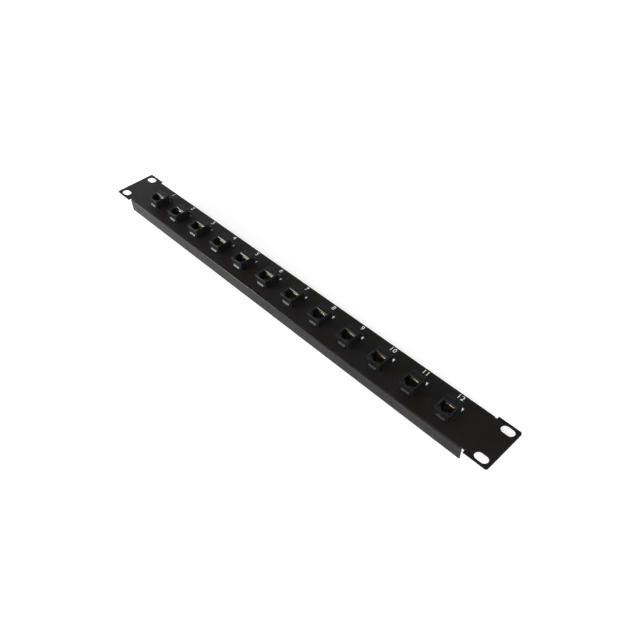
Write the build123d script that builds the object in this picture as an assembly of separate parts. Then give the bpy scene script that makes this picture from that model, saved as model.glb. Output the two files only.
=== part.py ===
from build123d import *
import math
import os

# A 1U panel for a 19 inch rack that carries twelve snap-in feed-through modules.
# Each module has an eight-contact modular socket at the front and one at the rear.
# Millimetres. X runs along the panel from port 1 to port 12, Y to its top edge, and Z out of
# its front. The origin is the centre of the four rack slots, on the rear face of the ears.

# How far a cutter runs past what it cuts, and how far a joined piece is sunk in its neighbour.
OVERRUN = 1.0
SUNK = 0.5

# ---- driving dimensions: panel ----
PORTS = 12
PORT_PITCH = 34.62
PANEL_WIDTH = 482.6
EAR_HEIGHT = 43.4
EAR_CORNER_R = 2.0
SHEET = 1.2
SLOT_X = 465.1 / 2
SLOT_Y = 31.75 / 2
SLOT_LENGTH = 11.4
SLOT_WIDTH = 7.4
FLANGE_HALF_LENGTH = 218.0
FLANGE_OUTER_Y = 20.4
FLANGE_DEPTH = 13.2
FOLD_STRIP = 4.8
BEND_INNER_R = 0.3
RELIEF_WIDTH = 2.4
RELIEF_Y = 19.1
CUTOUT_WIDTH = 14.8
CUTOUT_LOW_Y = -9.6
CUTOUT_HIGH_Y = 9.9
CUTOUT_CORNER_R = 0.4

# ---- driving dimensions: module housing ----
BODY_WIDTH = 14.5
BODY_LOW_Y = -9.7
BODY_HIGH_Y = 6.3
FACE_Z = SHEET + 8.0
SPLIT_Z = -8.5
TURN_Z = -7.8
EDGE_R = 0.35
FACE_EDGE_R = 0.28
MOUTH_CHAMFER = 0.45
GROOVE_Z = (-0.15, 1.75)
GROOVE_FLOOR_Y = -9.45
HOOK_WIDTH = 8.0
HOOK_LIP_Y = -10.7
HOOK_HEEL_Y = -11.0
LIP_GAP = 0.05
LIP_FLAT = 0.8
LIP_LENGTH = 2.8
HEEL_FLAT = 1.0
HEEL_LENGTH = 3.2

# ---- driving dimensions: socket (the space for a plug) ----
PLUG_WIDTH = 11.7
PLUG_LOW_Y = -6.25
PLUG_HIGH_Y = 0.5
PLUG_END_Z = -3.8
LATCH_WAY_WIDTH = 6.4
LATCH_WAY_Y = -7.5
TAB_WAY_WIDTH = 3.9
TAB_WAY_Y = -8.6

# ---- driving dimensions: snap tabs that join the two halves of a housing ----
SNAP_HALF_WIDTH = 2.5
SNAP_FRONT_Z = -4.0
SNAP_THICK = 0.5
SNAP_WINDOW_Z = (-6.7, -5.1)
SNAP_WINDOW_HALF = 1.4
SNAP_GAP = 0.05
BOSS_CLEARANCE = 0.15
BOSS_ROOT = 0.3

# ---- driving dimensions: contacts, carrier and board ----
CONTACTS = 8
CONTACT_PITCH = 1.016
STRIP_WIDTH = 0.45
STRIP_THICK = 0.3
BEND_Y = 1.5
BEND_Z = 6.0
BEND_R = 1.0
REST_SLOPE = 16.0
ARM_LENGTH = 8.8
ARM_START_ANGLE = 3.0
CARRIER_HALF_WIDTH = 6.1
CARRIER_Y = (-8.8, 3.3)
CARRIER_Z = (-7.0, PLUG_END_Z)
TONGUE_HALF_WIDTH = 4.75
TONGUE_HALF_THICK = 0.6
TONGUE_CLEARANCE = 0.5
RIB_WIDTH = 0.32
COMB_LOW_Y = -2.1
COMB_FRONT_Z = -1.6
COMB_INTO_TONGUE = 0.2
BOARD_Z = (-8.4, -7.2)
PART_CLEARANCE = 0.1

# ---- driving dimensions: latch arm ----
LATCH_WIDTH = 9.2
LATCH_TAIL_WIDTH = 6.8
LATCH_PIVOT_Y = 7.1
LATCH_PIVOT_Z = 5.0
LATCH_ROOT_R = 0.65
LATCH_ROOT_GAP = 0.1
LATCH_ROOT_Z = (LATCH_PIVOT_Z + 0.3, LATCH_PIVOT_Z + 1.8)
CATCH_TOP_Y = 10.4
CATCH_FRONT_Z = 2.4
HEEL_TOP_Y = 10.9
HEEL_REAR_Z = -1.0
LATCH_GROOVE_Y = 9.45
LATCH_TAIL_Z = -8.0

PORT_X = [(n - (PORTS + 1) / 2) * PORT_PITCH for n in range(1, PORTS + 1)]
CONTACT_X = [(i - (CONTACTS - 1) / 2) * CONTACT_PITCH for i in range(CONTACTS)]
RIB_X = [(i - CONTACTS / 2) * CONTACT_PITCH for i in range(CONTACTS + 1)]
BODY_MID_Y = (BODY_LOW_Y + BODY_HIGH_Y) / 2


def block(x, y, z):
    """A box from three (low, high) pairs."""
    centre = [(low + high) / 2 for low, high in (x, y, z)]
    size = [high - low for low, high in (x, y, z)]
    return Pos(*centre) * Box(*size)


def both_sides(half):
    return (-half, half)


def side_profile(points, width):
    """A solid of constant width along X from an outline of (y, z) points."""
    outline = Plane.YZ * make_face(Polyline(*points, close=True))
    return extrude(outline, width / 2, both=True)


def turned_over(shape):
    """The same shape at the module's rear end: half a turn about an axis along X."""
    return shape.rotate(Axis((0, BODY_MID_Y, TURN_Z), (1, 0, 0)), 180)


# ---- panel ----
def flange(side):
    """One folded edge, side = +1 for the top one: a strip of the face, the bend and the flange."""
    outer = FLANGE_OUTER_Y
    inner = outer - SHEET
    rear = SHEET - FLANGE_DEPTH
    strip = inner - FOLD_STRIP
    points = [(strip, 0), (strip, SHEET), (outer, SHEET), (outer, rear), (inner, rear), (inner, 0)]
    folded = side_profile([(side * y, z) for y, z in points], 2 * FLANGE_HALF_LENGTH)
    for y, z, radius in ((outer, SHEET, BEND_INNER_R + SHEET), (inner, 0, BEND_INNER_R)):
        corner = folded.edges().filter_by(Axis.X).sort_by_distance((0, side * y, z))[0]
        folded = fillet(corner, radius)
    return folded


def rack_panel():
    sheet = block(both_sides(PANEL_WIDTH / 2), both_sides(EAR_HEIGHT / 2), (0, SHEET))
    sheet = fillet(sheet.edges().filter_by(Axis.Z), EAR_CORNER_R)
    ear_x = FLANGE_HALF_LENGTH + RELIEF_WIDTH
    for side in (1, -1):
        waste = sorted((side * RELIEF_Y, side * EAR_HEIGHT))
        sheet -= block(both_sides(ear_x), waste, (-OVERRUN, SHEET + OVERRUN))
    for side in (1, -1):
        sheet += flange(side)
    cutout_size = (CUTOUT_WIDTH, CUTOUT_HIGH_Y - CUTOUT_LOW_Y)
    cutout_y = (CUTOUT_HIGH_Y + CUTOUT_LOW_Y) / 2
    openings = [Pos(x, cutout_y) * RectangleRounded(*cutout_size, CUTOUT_CORNER_R) for x in PORT_X]
    openings += [
        Pos(x, y) * SlotOverall(SLOT_LENGTH, SLOT_WIDTH)
        for x in both_sides(SLOT_X)
        for y in both_sides(SLOT_Y)
    ]
    for opening in openings:
        sheet -= Pos(0, 0, -OVERRUN) * extrude(opening, SHEET + 2 * OVERRUN)
    return sheet


# ---- module: housings ----
def plug_space(front_z):
    """The space a plug takes, from the plug stop out to front_z, with the way for its latch below."""
    spans = [
        (PLUG_WIDTH, PLUG_LOW_Y, PLUG_HIGH_Y),
        (LATCH_WAY_WIDTH, LATCH_WAY_Y, PLUG_LOW_Y + OVERRUN),
        (TAB_WAY_WIDTH, TAB_WAY_Y, PLUG_LOW_Y + OVERRUN),
    ]
    space = None
    for width, low, high in spans:
        step = block(both_sides(width / 2), (low, high), (PLUG_END_Z, front_z))
        space = step if space is None else space + step
    return space


def carrier_space():
    """Room for the contact carrier and the board: a pocket at the back and a way for the tongue."""
    room = PART_CLEARANCE
    low, high = CARRIER_Y[0] - room, CARRIER_Y[1] + room
    pocket = block(both_sides(CARRIER_HALF_WIDTH + room), (low, high), (SPLIT_Z, PLUG_END_Z))
    tongue_z = (PLUG_END_Z - OVERRUN, BEND_Z + 2 * BEND_R)
    tongue_x = both_sides(TONGUE_HALF_WIDTH + TONGUE_CLEARANCE)
    tongue_way = block(tongue_x, (PLUG_HIGH_Y - room, high), tongue_z)
    return pocket + tongue_way


def module_block(rear_z, front_z):
    """The outer block of a housing half, with rounded long edges."""
    body = block(both_sides(BODY_WIDTH / 2), (BODY_LOW_Y, BODY_HIGH_Y), (rear_z, front_z))
    return fillet(body.edges().filter_by(Axis.Z), EDGE_R)


def socket_half(rear_z):
    """A housing half with its socket facing +Z, from rear_z to the face."""
    body = module_block(rear_z, FACE_Z)
    body = fillet(body.faces().sort_by(Axis.Z)[-1].edges(), FACE_EDGE_R)
    body -= plug_space(FACE_Z + OVERRUN)
    body -= carrier_space()
    mouth = body.faces().filter_by(Axis.Z).sort_by(Axis.Z)[-1].inner_wires()[0].edges()
    return chamfer(mouth, MOUTH_CHAMFER)


def lower_hook():
    """Lip before the sheet and heel behind it, on the underside of the housing."""
    root_y = BODY_LOW_Y + SUNK
    lip_z = SHEET + LIP_GAP
    heel_z = GROOVE_Z[0]
    lip = [
        (root_y, lip_z),
        (HOOK_LIP_Y, lip_z),
        (HOOK_LIP_Y, lip_z + LIP_FLAT),
        (root_y, lip_z + LIP_LENGTH),
    ]
    heel = [
        (root_y, heel_z),
        (HOOK_HEEL_Y, heel_z),
        (HOOK_HEEL_Y, heel_z - HEEL_FLAT),
        (root_y, heel_z - HEEL_LENGTH),
    ]
    return side_profile(lip, HOOK_WIDTH) + side_profile(heel, HOOK_WIDTH)


def snap_span(side, depth, grow=0.0):
    """The X span of something depth thick at the side face, side = +1 or -1."""
    outer = BODY_WIDTH / 2
    return sorted((side * (outer - depth), side * (outer + grow)))


def front_housing():
    body = socket_half(SPLIT_Z)
    body -= block(both_sides(BODY_WIDTH), (BODY_LOW_Y - OVERRUN, GROOVE_FLOOR_Y), GROOVE_Z)
    body += lower_hook()
    root_y = (BODY_HIGH_Y - SUNK, LATCH_PIVOT_Y + LATCH_ROOT_R)
    body += block(both_sides(LATCH_WIDTH / 2), root_y, LATCH_ROOT_Z)
    seat = Rot(0, 90, 0) * Cylinder(LATCH_ROOT_R + LATCH_ROOT_GAP, LATCH_WIDTH + OVERRUN)
    body -= Pos(0, LATCH_PIVOT_Y, LATCH_PIVOT_Z) * seat
    recess_half = SNAP_HALF_WIDTH + PART_CLEARANCE
    recess_y = (BODY_MID_Y - recess_half, BODY_MID_Y + recess_half)
    recess_z = (SPLIT_Z, SNAP_FRONT_Z + PART_CLEARANCE)
    boss_half = SNAP_WINDOW_HALF - BOSS_CLEARANCE
    boss_y = (BODY_MID_Y - boss_half, BODY_MID_Y + boss_half)
    boss_z = (SNAP_WINDOW_Z[0] + BOSS_CLEARANCE, SNAP_WINDOW_Z[1] - BOSS_CLEARANCE)
    for side in (1, -1):
        body -= block(snap_span(side, SNAP_THICK + SNAP_GAP, OVERRUN), recess_y, recess_z)
        body += block(snap_span(side, SNAP_THICK + BOSS_ROOT, -SNAP_GAP), boss_y, boss_z)
    return body


def rear_shell():
    facing_front = socket_half(2 * TURN_Z - SPLIT_Z)
    body = turned_over(facing_front)
    y = (BODY_MID_Y - SNAP_HALF_WIDTH, BODY_MID_Y + SNAP_HALF_WIDTH)
    window_y = (BODY_MID_Y - SNAP_WINDOW_HALF, BODY_MID_Y + SNAP_WINDOW_HALF)
    for side in (1, -1):
        tab = block(snap_span(side, SNAP_THICK), y, (SPLIT_Z - OVERRUN, SNAP_FRONT_Z))
        body += tab - block(snap_span(side, SNAP_THICK + OVERRUN, OVERRUN), window_y, SNAP_WINDOW_Z)
    return body


# ---- module: latch arm ----
def latch_arm():
    """Sprung arm over the housing. The sheet's edge lies in the groove between catch and heel."""
    top = [
        (LATCH_PIVOT_Y + LATCH_ROOT_R, LATCH_PIVOT_Z),
        (8.25, 4.1),
        (CATCH_TOP_Y, CATCH_FRONT_Z),
        (CATCH_TOP_Y, GROOVE_Z[1]),
        (LATCH_GROOVE_Y, GROOVE_Z[1]),
        (LATCH_GROOVE_Y, GROOVE_Z[0]),
        (HEEL_TOP_Y, GROOVE_Z[0]),
        (HEEL_TOP_Y, HEEL_REAR_Z),
        (9.5, -1.7),
        (9.9, -6.2),
        (10.3, -6.4),
        (10.3, LATCH_TAIL_Z),
    ]
    bottom = [
        (9.1, LATCH_TAIL_Z),
        (8.2, -1.2),
        (7.8, 2.2),
        (6.9, 3.8),
        (LATCH_PIVOT_Y - LATCH_ROOT_R, LATCH_PIVOT_Z),
    ]
    arm = side_profile(top + bottom, LATCH_WIDTH)
    for side in (1, -1):
        trim = sorted((side * LATCH_TAIL_WIDTH / 2, side * LATCH_WIDTH))
        arm -= block(trim, (BODY_HIGH_Y, HEEL_TOP_Y + OVERRUN), (LATCH_TAIL_Z - OVERRUN, HEEL_REAR_Z))
    root = Pos(0, LATCH_PIVOT_Y, LATCH_PIVOT_Z) * Rot(0, 90, 0) * Cylinder(LATCH_ROOT_R, LATCH_WIDTH)
    return arm + root


# ---- module: contacts, carrier and board ----
def bend_point(radius, degrees):
    """A (y, z) point around the contact's bend, from 0 straight up, through 90 to the front."""
    angle = math.radians(degrees)
    return (BEND_Y + radius * math.cos(angle), BEND_Z + radius * math.sin(angle))


def spring_strip():
    """One sprung contact: round the carrier's nose, then back and down into the plug's space."""
    inner, outer = BEND_R - STRIP_THICK / 2, BEND_R + STRIP_THICK / 2
    start, end = ARM_START_ANGLE, 180 - REST_SLOPE
    slope = math.radians(REST_SLOPE)
    step = (-ARM_LENGTH * math.sin(slope), -ARM_LENGTH * math.cos(slope))
    tips = [(y + step[0], z + step[1]) for y, z in (bend_point(outer, end), bend_point(inner, end))]
    outline = [
        ThreePointArc(*(bend_point(outer, a) for a in (start, (start + end) / 2, end))),
        Line(bend_point(outer, end), tips[0]),
        Line(tips[0], tips[1]),
        Line(tips[1], bend_point(inner, end)),
        ThreePointArc(*(bend_point(inner, a) for a in (end, (start + end) / 2, start))),
        Line(bend_point(inner, start), bend_point(outer, start)),
    ]
    return extrude(Plane.YZ * make_face(outline), STRIP_WIDTH / 2, both=True)


def spread(shape):
    """One copy of the shape for each contact."""
    return [Pos(x, 0, 0) * shape for x in CONTACT_X]


def contact_carrier():
    """Block at the plug stop, tongue that the contacts bend round, and a comb that guides their ends.

    The fixed rear part of each contact runs inside this moulding, from the bend to the board.
    """
    body = block(both_sides(CARRIER_HALF_WIDTH), CARRIER_Y, CARRIER_Z)
    tongue_y = (BEND_Y - TONGUE_HALF_THICK, BEND_Y + TONGUE_HALF_THICK)
    body += block(both_sides(TONGUE_HALF_WIDTH), tongue_y, (PLUG_END_Z - SUNK, BEND_Z))
    nose = Rot(0, 90, 0) * Cylinder(TONGUE_HALF_THICK, 2 * TONGUE_HALF_WIDTH)
    body += Pos(0, BEND_Y, BEND_Z) * nose
    comb_y = (COMB_LOW_Y, tongue_y[0] + COMB_INTO_TONGUE)
    tooth = block(both_sides(RIB_WIDTH / 2), comb_y, (PLUG_END_Z - SUNK, COMB_FRONT_Z))
    for x in RIB_X:
        body += Pos(x, 0, 0) * tooth
    return body


def circuit_board():
    return block(both_sides(CARRIER_HALF_WIDTH), CARRIER_Y, BOARD_Z)


# ---- output ----
def at_port(shape, x):
    return Pos(x, 0, 0) * shape


def write(name, shapes):
    """Writes one node. A node of several solids is a group of separate ones."""
    solids = [s for shape in shapes for s in shape.solids()]
    export_step(solids[0] if len(solids) == 1 else Compound(children=solids), f"parts/{name}.step")


def main():
    os.makedirs("parts", exist_ok=True)
    springs = Compound(children=spread(spring_strip()))
    own_nodes = {
        "housing": front_housing(),
        "latch": latch_arm(),
        "front_contacts": springs,
        "rear_contacts": turned_over(springs),
    }
    shared_nodes = {
        "rear_shells": rear_shell(),
        "front_contact_carriers": contact_carrier(),
        "rear_contact_carriers": turned_over(contact_carrier()),
        "circuit_boards": circuit_board(),
    }
    write("rack_panel", [rack_panel()])
    for number, x in enumerate(PORT_X, 1):
        for name, shape in own_nodes.items():
            write(f"jack_{number:02d}_{name}", [at_port(shape, x)])
    for name, shape in shared_nodes.items():
        write(name, [at_port(shape, x) for x in PORT_X])


main()
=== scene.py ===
import math

import bmesh
import bpy
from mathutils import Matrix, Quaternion, Vector


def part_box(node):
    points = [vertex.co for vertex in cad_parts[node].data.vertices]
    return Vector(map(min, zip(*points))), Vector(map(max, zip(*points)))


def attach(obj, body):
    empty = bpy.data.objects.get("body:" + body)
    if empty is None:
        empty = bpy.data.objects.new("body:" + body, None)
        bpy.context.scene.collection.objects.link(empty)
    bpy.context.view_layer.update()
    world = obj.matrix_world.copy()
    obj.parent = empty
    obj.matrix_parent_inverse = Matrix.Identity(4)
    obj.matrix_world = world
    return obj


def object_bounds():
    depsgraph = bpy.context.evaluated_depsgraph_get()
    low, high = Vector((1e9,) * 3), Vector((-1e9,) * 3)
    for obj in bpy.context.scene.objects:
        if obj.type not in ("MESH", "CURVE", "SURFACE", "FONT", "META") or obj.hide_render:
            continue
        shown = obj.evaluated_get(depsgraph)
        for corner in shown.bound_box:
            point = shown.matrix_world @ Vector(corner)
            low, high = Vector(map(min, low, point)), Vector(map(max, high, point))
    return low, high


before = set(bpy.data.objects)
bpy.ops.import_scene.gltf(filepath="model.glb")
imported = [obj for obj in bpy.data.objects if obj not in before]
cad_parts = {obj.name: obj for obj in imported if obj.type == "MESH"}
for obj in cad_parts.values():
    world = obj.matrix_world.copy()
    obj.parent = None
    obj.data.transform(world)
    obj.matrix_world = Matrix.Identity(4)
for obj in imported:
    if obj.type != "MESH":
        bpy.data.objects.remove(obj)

MM = 0.001
CAD_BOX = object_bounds()
PANEL_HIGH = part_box("rack_panel")[1]
PORTS = 12
SHEET = 1.2 * MM

# Camera: in front of the panel's near end and below its lower edge, aimed a little right of the middle.
CAMERA_AT = Vector((0.3507, -0.2661, 0.4119))
CAMERA_AIM = Vector((0.0530, -0.0026, 0.0012))
CAMERA_ROLL = math.radians(-2.97)
CAMERA_LENS = 37.54
CAMERA_CLIP_START = 0.01

# Softboxes: name, place, width and height, and power in watts. Each is aimed at the origin.
SOFTBOXES = (
    ("key_softbox", (1.2, -1.2, 2.0), (1.2, 1.2), 34),
    ("low_left_softbox", (-0.95, -0.92, 0.50), (0.40, 0.20), 20),
    ("far_end_softbox", (-1.20, 0.30, 0.13), (0.6, 0.2), 1.0),
    ("right_fill", (1.10, -0.30, 0.45), (0.6, 0.4), 1.5),
)
AIR_COLOUR = (1.0, 0.985, 0.97, 1)
AIR_STRENGTH = 0.18

# Studio floor: a disc whose rim sweeps up into a low wall. The paper glows a little, which keeps it white.
FLOOR_RADIUS = 2.6
INNER_RINGS = (0.01 * FLOOR_RADIUS, 0.4 * FLOOR_RADIUS)
SWEEP_RADIUS = 0.5
WALL_HEIGHT = 1.3
SWEEP_SIDES = 96
SWEEP_STEPS = 8
PAPER_GLOW = 0.42

# The press brake leaves the coat smoother on the folds: where they start, and how much roughness is left.
FOLD_START = PANEL_HIGH.y - 2.6 * MM
FOLD_POLISH = 0.50
FOLD_BLEND = 0.2 * MM

# Softened edges: on moulded and folded pieces, on small inner pieces, and on the thin contacts.
EDGE_RADIUS = 0.12 * MM
INNER_EDGE_RADIUS = 0.05 * MM
CONTACT_EDGE_RADIUS = 0.04 * MM
EDGE_SEGMENTS = 2
SHARP_ANGLE = math.radians(40)
WELD_GAP = 0.001 * MM

# Printed numbers: how tall they are, where their feet stand, and how thick the ink is.
NUMBER_HEIGHT = 4.5 * MM
NUMBER_FOOT_Y = 13.9 * MM
NUMBER_SHIFT_X = -0.9 * MM
NUMBER_THINNED = 0.03 * MM
NUMBER_SPACING = 1.1
INK_THICK = 0.04 * MM

# Height of a figure in Blender's own font at size 1.
FIGURE_HEIGHT = 0.7

# Colours in linear light. Tones are a pair that a procedural pattern mixes.
COAT_TONES = ((0.0066, 0.0056, 0.0052), (0.0086, 0.0078, 0.0076))
COAT_SPECK = (0.022, 0.021, 0.021)
COAT_RUBBED = (0.075, 0.074, 0.072)
MODULE_TONES = ((0.0045, 0.0045, 0.005), (0.008, 0.008, 0.009))
LATCH_TONES = ((0.005, 0.005, 0.006), (0.010, 0.010, 0.011))
CARRIER_TONES = ((0.010, 0.010, 0.010), (0.016, 0.016, 0.016))
GOLD_TONES = ((0.46, 0.38, 0.24), (0.64, 0.57, 0.41))
BOARD_TONES = ((0.008, 0.075, 0.03), (0.02, 0.15, 0.055))
INK_TONES = ((0.80, 0.80, 0.79), (0.42, 0.42, 0.41))
PAPER_TONES = ((0.90, 0.90, 0.90), (0.93, 0.93, 0.93))
WHITE = (1, 1, 1, 1)

# Roughness, from the smoothest to the roughest place.
COAT_ROUGHNESS = (0.45, 0.57)
MODULE_ROUGHNESS = (0.27, 0.35)
LATCH_ROUGHNESS = (0.30, 0.38)
CARRIER_ROUGHNESS = (0.42, 0.50)
GOLD_ROUGHNESS = (0.26, 0.42)
BOARD_ROUGHNESS = (0.30, 0.42)
INK_ROUGHNESS = (0.50, 0.65)
PAPER_ROUGHNESS = (0.85, 0.95)


# ---- material helpers ----
class Shader:
    """A material with one Principled shader, and short ways to add procedural nodes to it."""

    def __init__(self, name, **sockets):
        self.material = bpy.data.materials.new(name)
        self.material.use_nodes = True
        self.nodes = self.material.node_tree.nodes
        self.links = self.material.node_tree.links
        self.bsdf = self.nodes["Principled BSDF"]
        self.place = self.nodes.new("ShaderNodeTexCoord").outputs["Object"]
        for socket, value in sockets.items():
            self.bsdf.inputs[socket.replace("_", " ")].default_value = value

    def noise(self, size, detail=2.0, stretch=None):
        """Soft noise, its grains about size metres across. A stretch under 1 lengthens them on that axis."""
        node = self.nodes.new("ShaderNodeTexNoise")
        node.inputs["Scale"].default_value = 1 / size
        node.inputs["Detail"].default_value = detail
        place = self.place
        if stretch:
            mapping = self.nodes.new("ShaderNodeMapping")
            mapping.inputs["Scale"].default_value = stretch
            self.links.new(place, mapping.inputs["Vector"])
            place = mapping.outputs["Vector"]
        self.links.new(place, node.inputs["Vector"])
        return node.outputs["Fac"]

    def cells(self, size, feature="F1"):
        """Voronoi cells about size metres across."""
        node = self.nodes.new("ShaderNodeTexVoronoi")
        node.feature = feature
        node.inputs["Scale"].default_value = 1 / size
        self.links.new(self.place, node.inputs["Vector"])
        return node.outputs["Distance"]

    def levels(self, value, low, high, to_low=0.0, to_high=1.0):
        """The output value taken from the span low..high to the span to_low..to_high, and clamped."""
        node = self.nodes.new("ShaderNodeMapRange")
        node.inputs["From Min"].default_value = low
        node.inputs["From Max"].default_value = high
        node.inputs["To Min"].default_value = to_low
        node.inputs["To Max"].default_value = to_high
        self.links.new(value, node.inputs["Value"])
        return node.outputs["Result"]

    def math(self, operation, *values):
        """One arithmetic step on outputs."""
        node = self.nodes.new("ShaderNodeMath")
        node.operation = operation
        for socket, value in zip(node.inputs, values):
            self.links.new(value, socket)
        return node.outputs["Value"]

    def mix(self, share, first, second):
        """The first where share is 0, the second where it is 1. Each is a colour or an output."""
        node = self.nodes.new("ShaderNodeMix")
        node.data_type = "RGBA"
        colours = [socket for socket in node.inputs if socket.type == "RGBA"]
        for socket, value in zip(colours, (first, second)):
            if isinstance(value, tuple):
                socket.default_value = (*value, 1)
            else:
                self.links.new(value, socket)
        self.links.new(share, node.inputs["Factor"])
        return next(socket for socket in node.outputs if socket.type == "RGBA")

    def edges(self, width):
        """About 1 on sharp edges and 0 on flat faces, for wear and for painted edge highlights that follow
        the shape.
        """
        bevel = self.nodes.new("ShaderNodeBevel")
        bevel.samples = 4
        bevel.inputs["Radius"].default_value = width
        geometry = self.nodes.new("ShaderNodeNewGeometry")
        dot = self.nodes.new("ShaderNodeVectorMath")
        dot.operation = "DOT_PRODUCT"
        self.links.new(bevel.outputs["Normal"], dot.inputs[0])
        self.links.new(geometry.outputs["Normal"], dot.inputs[1])
        return self.levels(dot.outputs["Value"], 0.99, 0.85)

    def on_folds(self):
        """1 on the panel's two folds: near its long edges, and no lower than the sheet's back."""
        split = self.nodes.new("ShaderNodeSeparateXYZ")
        self.links.new(self.place, split.inputs["Vector"])
        from_middle = self.math("ABSOLUTE", split.outputs["Y"])
        near_edge = self.levels(from_middle, FOLD_START - FOLD_BLEND, FOLD_START + FOLD_BLEND)
        in_front = self.levels(split.outputs["Z"], -FOLD_BLEND, FOLD_BLEND)
        return self.math("MULTIPLY", near_edge, in_front)

    def colour(self, output):
        """Takes the output as the base colour."""
        self.links.new(output, self.bsdf.inputs["Base Color"])

    def rough(self, output):
        """Takes the output as the roughness."""
        self.links.new(output, self.bsdf.inputs["Roughness"])

    def bump(self, *layers):
        """Height layers of (output, depth in metres), one bump on top of the other."""
        normal = None
        for height, depth in layers:
            node = self.nodes.new("ShaderNodeBump")
            node.inputs["Distance"].default_value = depth
            self.links.new(height, node.inputs["Height"])
            if normal:
                self.links.new(normal, node.inputs["Normal"])
            normal = node.outputs["Normal"]
        self.links.new(normal, self.bsdf.inputs["Normal"])


# ---- materials ----
def powder_coat():
    """Satin black powder coat on sheet steel: orange-peel grain, cloudy tone and rubbed edges."""
    shader = Shader("powder_coat", Specular_IOR_Level=0.18)
    grain = shader.cells(0.45 * MM, "SMOOTH_F1")
    cloud = shader.levels(shader.noise(35 * MM), 0.35, 0.65)
    fine = shader.noise(0.16 * MM, 3)
    speck = shader.levels(fine, 0.60, 0.78)
    base = shader.mix(speck, shader.mix(cloud, *COAT_TONES), COAT_SPECK)
    patches = shader.levels(shader.noise(3 * MM, 4), 0.35, 0.7, 0.1, 0.8)
    rubbed = shader.math("MULTIPLY", shader.edges(0.22 * MM), patches)
    shader.colour(shader.mix(rubbed, base, COAT_RUBBED))
    coat = shader.levels(shader.math("ADD", fine, cloud), 0.4, 1.5, *COAT_ROUGHNESS)
    pressed = shader.levels(shader.on_folds(), 0, 1, 1, FOLD_POLISH)
    shader.rough(shader.math("MULTIPLY", coat, pressed))
    shader.bump((grain, 0.05 * MM), (fine, 0.015 * MM))
    return shader.material


def moulded_plastic(name, tones, roughness, grain_depth):
    """Injection-moulded plastic: spark-eroded grain, faint flow lines, and a painted highlight that lightens
    the colour on the edges.
    """
    shader = Shader(name, Specular_IOR_Level=0.35)
    flow = shader.levels(shader.noise(4.0 * MM, 2, stretch=(1, 1, 0.35)), 0.2, 0.8)
    grain = shader.noise(0.12 * MM, 4)
    base = shader.mix(flow, *tones)
    # Painted highlight: a lighter colour on the sharp edges stands in for the glints along the rims.
    painted_edge_highlight = tuple(3 * channel + 0.01 for channel in tones[1])
    shader.colour(shader.mix(shader.edges(0.12 * MM), base, painted_edge_highlight))
    shader.rough(shader.levels(shader.math("ADD", grain, flow), 0.5, 1.5, *roughness))
    shader.bump((grain, grain_depth), (flow, 0.004 * MM))
    return shader.material


def gold_flash():
    """Thin gold over drawn phosphor bronze: drawing lines along the strip and uneven tone."""
    shader = Shader("gold_flash", Metallic=1.0)
    lines = shader.noise(0.09 * MM, 3, stretch=(1, 0.15, 0.15))
    tone = shader.levels(shader.noise(1.4 * MM, 2), 0.35, 0.65)
    shader.colour(shader.mix(tone, *GOLD_TONES))
    shader.rough(shader.levels(lines, 0.3, 0.7, *GOLD_ROUGHNESS))
    shader.bump((lines, 0.006 * MM))
    return shader.material


def solder_mask():
    """Green solder resist over copper tracks, with the weave of the board under it."""
    shader = Shader("solder_mask", Specular_IOR_Level=0.5)
    weave = shader.cells(0.5 * MM)
    track = shader.levels(shader.noise(1.0 * MM, 0, stretch=(1, 0.12, 1)), 0.52, 0.56)
    shader.colour(shader.mix(track, *BOARD_TONES))
    shader.rough(shader.levels(weave, 0.0, 0.6, *BOARD_ROUGHNESS))
    shader.bump((track, 0.02 * MM), (weave, 0.01 * MM))
    return shader.material


def printed_ink():
    """White screen-printed ink, a little thin and speckled where the grain under it shows."""
    shader = Shader("printed_ink", Specular_IOR_Level=0.4)
    thin = shader.levels(shader.noise(0.3 * MM, 3), 0.58, 0.8)
    shader.colour(shader.mix(thin, *INK_TONES))
    shader.rough(shader.levels(thin, 0, 1, *INK_ROUGHNESS))
    shader.bump((thin, 0.01 * MM))
    return shader.material


def studio_paper():
    """White paper, matt and faintly fibrous."""
    glow = {"Emission_Color": WHITE, "Emission_Strength": PAPER_GLOW}
    shader = Shader("studio_paper", Specular_IOR_Level=0.1, **glow)
    fibre = shader.noise(0.8 * MM, 3)
    shader.colour(shader.mix(fibre, *PAPER_TONES))
    shader.rough(shader.levels(fibre, 0.3, 0.7, *PAPER_ROUGHNESS))
    return shader.material


# ---- CAD nodes: finish and softened edges ----
def finish_node(name, material, edge_radius):
    """Gives a CAD node its material, and rounds its sharp edges a little."""
    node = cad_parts[name]
    node.data.materials.clear()
    node.data.materials.append(material)
    weld = node.modifiers.new("join_faces", "WELD")
    weld.merge_threshold = WELD_GAP
    bevel = node.modifiers.new("soft_edges", "BEVEL")
    bevel.width = edge_radius
    bevel.segments = EDGE_SEGMENTS
    bevel.limit_method = "ANGLE"
    bevel.angle_limit = SHARP_ANGLE
    bevel.harden_normals = True


def finish_all_nodes():
    """Each node's material and edge radius follow from the last word of its name."""
    module = moulded_plastic("module_plastic", MODULE_TONES, MODULE_ROUGHNESS, 0.008 * MM)
    latch = moulded_plastic("latch_plastic", LATCH_TONES, LATCH_ROUGHNESS, 0.010 * MM)
    carrier = moulded_plastic("carrier_plastic", CARRIER_TONES, CARRIER_ROUGHNESS, 0.015 * MM)
    by_last_word = {
        "housing": (module, EDGE_RADIUS),
        "latch": (latch, EDGE_RADIUS),
        "contacts": (gold_flash(), CONTACT_EDGE_RADIUS),
        "shells": (module, EDGE_RADIUS),
        "carriers": (carrier, INNER_EDGE_RADIUS),
        "boards": (solder_mask(), INNER_EDGE_RADIUS),
        "panel": (powder_coat(), EDGE_RADIUS),
    }
    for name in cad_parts:
        material, edge_radius = by_last_word[name.rsplit("_", 1)[-1]]
        finish_node(name, material, edge_radius)


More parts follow.
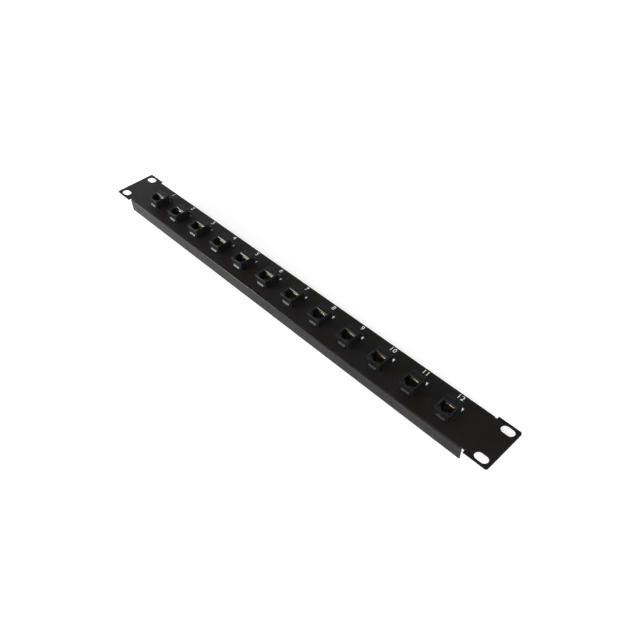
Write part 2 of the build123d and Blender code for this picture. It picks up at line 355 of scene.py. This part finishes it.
# ---- printed port numbers ----
def printed_number(number, ink):
    """The port's number in ink on the panel, over its module."""
    low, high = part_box(f"jack_{number:02d}_housing")
    curve = bpy.data.curves.new(f"port_number_{number:02d}", "FONT")
    curve.body = str(number)
    curve.align_x = "CENTER"
    curve.size = NUMBER_HEIGHT / FIGURE_HEIGHT
    curve.extrude = INK_THICK / 2
    curve.offset = -NUMBER_THINNED
    curve.space_character = NUMBER_SPACING
    curve.materials.append(ink)
    piece = bpy.data.objects.new(curve.name, curve)
    bpy.context.scene.collection.objects.link(piece)
    middle = (low.x + high.x) / 2
    piece.location = (middle + NUMBER_SHIFT_X, NUMBER_FOOT_Y, SHEET + INK_THICK / 2)
    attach(piece, "panel")


# ---- stage, light and camera ----
def floor_profile():
    """The floor's section as (radius, height) pairs, from the middle out and up the wall."""
    profile = [(radius, 0.0) for radius in INNER_RINGS]
    for step in range(SWEEP_STEPS + 1):
        angle = 0.5 * math.pi * step / SWEEP_STEPS
        radius = FLOOR_RADIUS + SWEEP_RADIUS * math.sin(angle)
        profile.append((radius, SWEEP_RADIUS * (1 - math.cos(angle))))
    profile.append((FLOOR_RADIUS + SWEEP_RADIUS, WALL_HEIGHT))
    return profile


def add_floor():
    """Round paper floor under the object, with its rim swept up into a low wall all round."""
    turns = [2 * math.pi * side / SWEEP_SIDES for side in range(SWEEP_SIDES)]
    spokes = [Vector((math.cos(turn), math.sin(turn), 0)) for turn in turns]
    bm = bmesh.new()
    rings = []
    for radius, height in floor_profile():
        centre = Vector((0, 0, CAD_BOX[0].z + height))
        rings.append([bm.verts.new(centre + radius * spoke) for spoke in spokes])
    bm.faces.new(rings[0])
    for inner, outer in zip(rings, rings[1:]):
        for side in range(SWEEP_SIDES):
            after = (side + 1) % SWEEP_SIDES
            bm.faces.new((inner[side], outer[side], outer[after], inner[after]))
    for face in bm.faces:
        face.smooth = True
    mesh = bpy.data.meshes.new("studio_sweep")
    bm.to_mesh(mesh)
    bm.free()
    mesh.materials.append(studio_paper())
    floor = bpy.data.objects.new("studio_sweep", mesh)
    bpy.context.scene.collection.objects.link(floor)


def add_softbox(name, place, size, power):
    """A rectangular softbox at a place, aimed at the origin."""
    light = bpy.data.lights.new(name, "AREA")
    light.shape = "RECTANGLE"
    light.size, light.size_y = size
    light.energy = power
    softbox = bpy.data.objects.new(name, light)
    softbox.location = place
    softbox.rotation_euler = (-Vector(place)).to_track_quat("-Z", "Y").to_euler()
    bpy.context.scene.collection.objects.link(softbox)


def add_light():
    """Even light from all round, and the softboxes."""
    world = bpy.data.worlds.new("studio_air")
    world.use_nodes = True
    air = world.node_tree.nodes["Background"]
    air.inputs["Color"].default_value = AIR_COLOUR
    air.inputs["Strength"].default_value = AIR_STRENGTH
    bpy.context.scene.world = world
    for name, place, size, power in SOFTBOXES:
        add_softbox(name, place, size, power)


def add_camera():
    """The camera, rolled a little about its line of sight."""
    data = bpy.data.cameras.new("camera")
    data.lens = CAMERA_LENS
    data.clip_start = CAMERA_CLIP_START
    camera = bpy.data.objects.new("camera", data)
    camera.location = CAMERA_AT
    look = (CAMERA_AIM - CAMERA_AT).to_track_quat("-Z", "Y")
    camera.rotation_mode = "QUATERNION"
    camera.rotation_quaternion = look @ Quaternion((0, 0, 1), CAMERA_ROLL)
    bpy.context.scene.collection.objects.link(camera)
    bpy.context.scene.camera = camera


bpy.context.scene.view_settings.view_transform = "Standard"
finish_all_nodes()
ink = printed_ink()
for number in range(1, PORTS + 1):
    printed_number(number, ink)
add_floor()
add_light()
add_camera()
